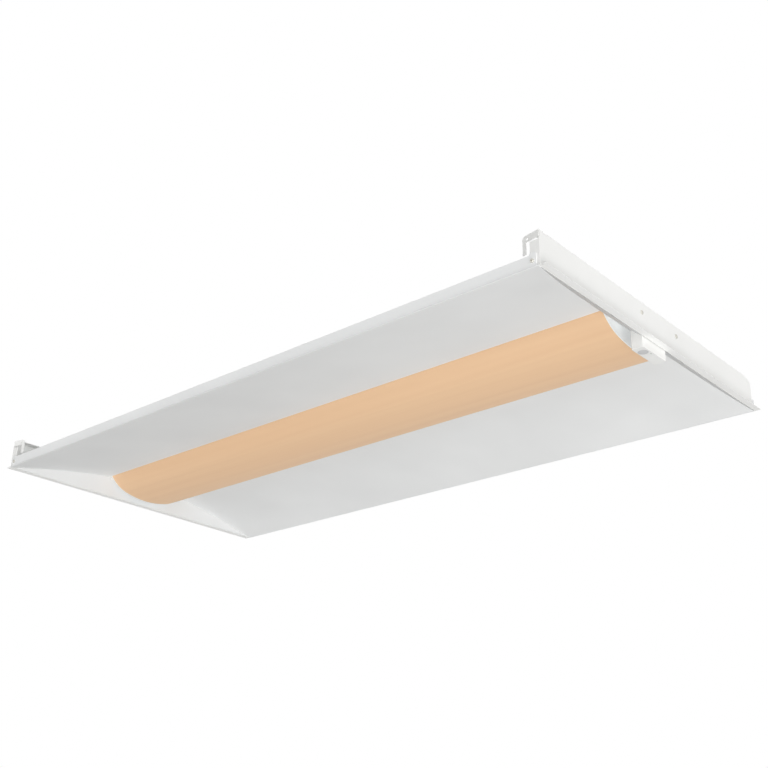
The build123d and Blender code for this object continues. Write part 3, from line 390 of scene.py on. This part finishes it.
# A light source package has a moulded body, a round phosphor window and two solder pads.
phosphorLook = {
    "light": "#F3CB52", "shade": "#E9B93A",
    "grain": 0.4,                             # mm
    "relief": (0.01, 0.3),
    "roughness": 0.18,
    "ior": 1.41,
}
packageLook = {
    "perBoard": 20,
    "bodyChamfer": 0.15,                      # mm, as are the sizes down to padHeight
    "windowRadius": 1.12,
    "windowDepth": 0.12,                      # the phosphor lies this deep in its cup
    "padLength": 0.9,
    "padWidth": 2.6,
    "padHeight": 0.06,
    "cupTaper": 0.94,                         # the cup's floor is this much of its mouth
    "sides": 20,                              # points round the window
}
bodyIndex, windowIndex, padIndex = range(3)


def phosphorGel(name, spec):
    # silicone filled with yellow phosphor: an egg-yolk colour with a smooth, wet skin
    material, tree = startMaterial(name)
    points = objectPoints(tree)
    grain = addNode(tree, "ShaderNodeTexNoise", {"Scale": scaleOf(spec["grain"])}, {"Vector": points})
    tone = twoTones(tree, grain, spec["shade"], spec["light"])
    settings = {"IOR": spec["ior"], "Roughness": spec["roughness"]}
    finishMaterial(tree, settings, tone, [(grain, *spec["relief"])])
    return material


def turnsOf(sides):
    return [2 * math.pi * k / sides for k in range(sides)]


def roundRing(bm, radius, z, centre, sides):
    return [bm.verts.new((centre.x + radius * math.cos(a), centre.y + radius * math.sin(a), z))
            for a in turnsOf(sides)]


def squareRing(bm, half, z, centre, sides):
    # a square drawn with as many points as the round window, so that the two can be bridged
    points = []
    for a in turnsOf(sides):
        reach = half / max(abs(math.cos(a)), abs(math.sin(a)))
        points.append(bm.verts.new((centre.x + reach * math.cos(a), centre.y + reach * math.sin(a), z)))
    return points


def bridge(bm, first, second):
    count = len(first)
    for k in range(count):
        nextOne = (k + 1) % count
        face = bm.faces.new((first[k], first[nextOne], second[nextOne], second[k]))
        face.material_index = bodyIndex


def addPad(bm, middle, size):
    placed = Matrix.Translation(middle) @ Matrix.Diagonal((*size, 1))
    made = bmesh.ops.create_cube(bm, size=1.0, matrix=placed)
    for face in {f for v in made["verts"] for f in v.link_faces}:
        face.material_index = padIndex


def makePackages(name, node, boards, materials):
    spec = packageLook
    sides = spec["sides"]
    chamfer = spec["bodyChamfer"] * mm
    cup = spec["windowRadius"] * mm
    padSize = Vector((spec["padLength"], spec["padWidth"], spec["padHeight"])) * mm
    low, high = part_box(node)
    half = (high.y - low.y) / 2
    padShift = half + spec["padLength"] * mm / 2
    bm = bmesh.new()
    for board in boards:
        boardLow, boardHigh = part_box(board)
        pitch = (boardHigh.x - boardLow.x) / spec["perBoard"]
        for i in range(spec["perBoard"]):
            centre = Vector((boardLow.x + pitch * (i + 0.5), (low.y + high.y) / 2, 0))
            rings = [
                squareRing(bm, half, high.z, centre, sides),
                squareRing(bm, half, low.z + chamfer, centre, sides),
                squareRing(bm, half - chamfer, low.z, centre, sides),
                roundRing(bm, cup, low.z, centre, sides),
                roundRing(bm, cup * spec["cupTaper"], low.z + spec["windowDepth"] * mm, centre, sides),
            ]
            for outer, inner in zip(rings, rings[1:]):
                bridge(bm, outer, inner)
            bm.faces.new(rings[0][::-1]).material_index = bodyIndex
            bm.faces.new(rings[-1]).material_index = windowIndex
            for side in (-1, 1):
                addPad(bm, Vector((centre.x + side * padShift, centre.y, high.z - padSize.z / 2)), padSize)
    bmesh.ops.recalc_face_normals(bm, faces=bm.faces)
    mesh = bpy.data.meshes.new(name)
    bm.to_mesh(mesh)
    bm.free()
    for material in materials:
        mesh.materials.append(material)
    piece = bpy.data.objects.new(name, mesh)
    bpy.context.scene.collection.objects.link(piece)
    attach(piece, "housing")
    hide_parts(node)


packageMaterials = [plasticOf["white_solder_mask"], phosphorGel("silicone_phosphor_gel", phosphorLook),
                    metalOf["zinc_plated_steel"]]
makePackages("package_row_front", "led_packages_front", boardNames[:2], packageMaterials)
makePackages("package_row_back", "led_packages_back", boardNames[2:], packageMaterials)
print("light source packages made")


# The room is a floor far below the ceiling and a pale world.
room = {
    "floorDrop": 2.4,                         # m, from the ceiling plane to the floor
    "floorHalf": 9.0,                         # m
    "floorColour": "#8E8E8C",                 # what the floor sends back up; the eye sees it white
    "worldStrength": 0.3,
}


def whiteToTheEye(tree):
    # one for camera, mirror and glass rays, nought for the rays that light the part
    path = addNode(tree, "ShaderNodeLightPath")
    total = path.outputs["Is Camera Ray"]
    for kind in ("Is Glossy Ray", "Is Transmission Ray"):
        total = addNode(tree, "ShaderNodeMath", {"operation": "ADD", "use_clamp": True},
                        {0: total, 1: path.outputs[kind]})
    return total


def makeFloor():
    bpy.ops.mesh.primitive_plane_add(size=2 * room["floorHalf"], location=(0, 0, -room["floorDrop"]))
    floor = bpy.context.object
    floor.name = "room_floor"
    floor.visible_shadow = False
    material, tree = startMaterial("pale_floor")
    matt = addNode(tree, "ShaderNodeBsdfDiffuse", {"Color": toLinear(room["floorColour"])})
    white = addNode(tree, "ShaderNodeEmission", {"Strength": 1.0})
    mixed = addNode(tree, "ShaderNodeMixShader", None, {0: whiteToTheEye(tree), 1: matt, 2: white})
    addNode(tree, "ShaderNodeOutputMaterial", None, {"Surface": mixed})
    floor.data.materials.append(material)


def makeWorld():
    world = bpy.data.worlds.new("pale_studio")
    bpy.context.scene.world = world
    world.use_nodes = True
    tree = world.node_tree
    tree.nodes.clear()
    strength = addNode(tree, "ShaderNodeMapRange", fromTo(wholeRange, (room["worldStrength"], 1.0)),
                       {"Value": whiteToTheEye(tree)})
    background = addNode(tree, "ShaderNodeBackground", {"Color": (1, 1, 1, 1)}, {"Strength": strength})
    addNode(tree, "ShaderNodeOutputWorld", None, {"Surface": background})


# Four soft suns light the part evenly. Each one's direction is from the part towards the lamp, and a
# share of 1 lights a surface that faces it to the colour it is given. The spread is in degrees.
suns = {
    "keyFromBelow": {"from": (0.52, -0.42, -0.74), "share": 0.57, "spread": 40},
    "endFill": {"from": (0.98, -0.15, -0.02), "share": 0.35, "spread": 40},
    "sideFill": {"from": (0.10, -0.98, -0.05), "share": 0.31, "spread": 30},
    "backFromAbove": {"from": (-0.55, 0.60, 0.58), "share": 0.52, "spread": 30},
}

# A soft panel below the sensor's end gives that end more.
nearPanel = {
    "place": (1.15, -0.35, -1.10),            # m
    "aim": (0.55, 0.0, 0.0),                  # m
    "width": 0.9,                             # m
    "share": 0.25,                            # of a surface's own colour, where it is aimed
}


def hangLamp(name, kind, towards):
    data = bpy.data.lights.new(name, kind)
    lamp = bpy.data.objects.new(name, data)
    lamp.rotation_mode = "QUATERNION"
    lamp.rotation_quaternion = towards.to_track_quat("-Z", "Y")
    bpy.context.scene.collection.objects.link(lamp)
    return lamp


def makeSuns():
    for name, spec in suns.items():
        data = hangLamp(name, "SUN", -Vector(spec["from"])).data
        data.energy = math.pi * spec["share"]
        data.angle = math.radians(spec["spread"])


def makeNearPanel():
    place = Vector(nearPanel["place"])
    reach = Vector(nearPanel["aim"]) - place
    lamp = hangLamp("nearPanel", "AREA", reach)
    lamp.location = place
    lamp.visible_camera = False
    lamp.data.shape = "DISK"
    lamp.data.size = nearPanel["width"]
    lamp.data.energy = nearPanel["share"] * (math.pi * reach.length) ** 2


makeFloor()
makeWorld()
makeSuns()
makeNearPanel()
print("room and lamps made")


# The camera stands below the ceiling, off the sensor's corner, and looks up.
photoView = {
    "place": (1.2620, -1.3135, -0.6902),      # m
    "azimuth": 42.15,                         # degrees from +Y towards -X
    "rise": 23.73,                            # degrees
    "roll": 1.30,                             # degrees
    "lens": 52.56,                            # mm
    "sensor": 36.0,                           # mm
}


def makeCamera():
    azimuth, rise, roll = (math.radians(photoView[k]) for k in ("azimuth", "rise", "roll"))
    flat = math.cos(rise)
    forward = Vector((-math.sin(azimuth) * flat, math.cos(azimuth) * flat, math.sin(rise)))
    level = Vector((math.cos(azimuth), math.sin(azimuth), 0))
    right = math.cos(roll) * level + math.sin(roll) * level.cross(forward)
    up = right.cross(forward)
    data = bpy.data.cameras.new("photo_view")
    data.lens = photoView["lens"]
    data.sensor_width = photoView["sensor"]
    camera = bpy.data.objects.new("photo_view", data)
    bpy.context.scene.collection.objects.link(camera)
    turn = Matrix((right, up, -forward)).transposed().to_4x4()
    camera.matrix_world = Matrix.Translation(photoView["place"]) @ turn
    bpy.context.scene.camera = camera


makeCamera()
bpy.context.scene.view_settings.view_transform = "Standard"

print("scene ready")
